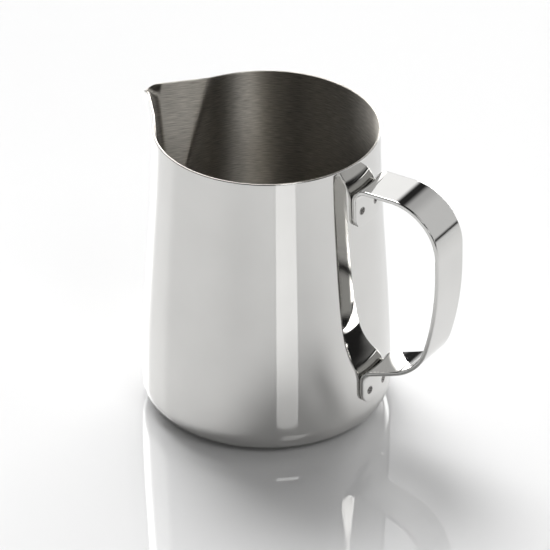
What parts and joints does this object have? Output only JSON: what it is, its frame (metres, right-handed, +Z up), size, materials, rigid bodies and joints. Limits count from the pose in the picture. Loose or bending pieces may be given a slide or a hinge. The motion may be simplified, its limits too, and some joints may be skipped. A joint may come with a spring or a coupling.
{
  "type": "milk frothing pitcher",
  "caption": "Deep-drawn steel steaming pitcher with a pressed V spout, a rolled drip lip and a strap handle spot-welded to its wall.",
  "frame": {"origin": "on the vessel's axis, at the underside of the base", "axes": "+Z up along the vessel's axis, +X through the middle of the strap handle; the spout points about 4 degrees off -X, towards +Y"},
  "size_m": [0.128, 0.0886, 0.11],
  "materials": {
    "vessel_steel": "mirror-polished outside, brushed around its axis inside",
    "handle_steel": "mirror-polished",
    "weld_steel": "pressed dimples, slightly dulled by the weld's heat"
  },
  "bodies": {
    "root": {"vessel": "vessel_steel", "handle": "handle_steel", "upper_spot_welds": "weld_steel", "lower_spot_welds": "weld_steel"}
  },
  "joints": []
}
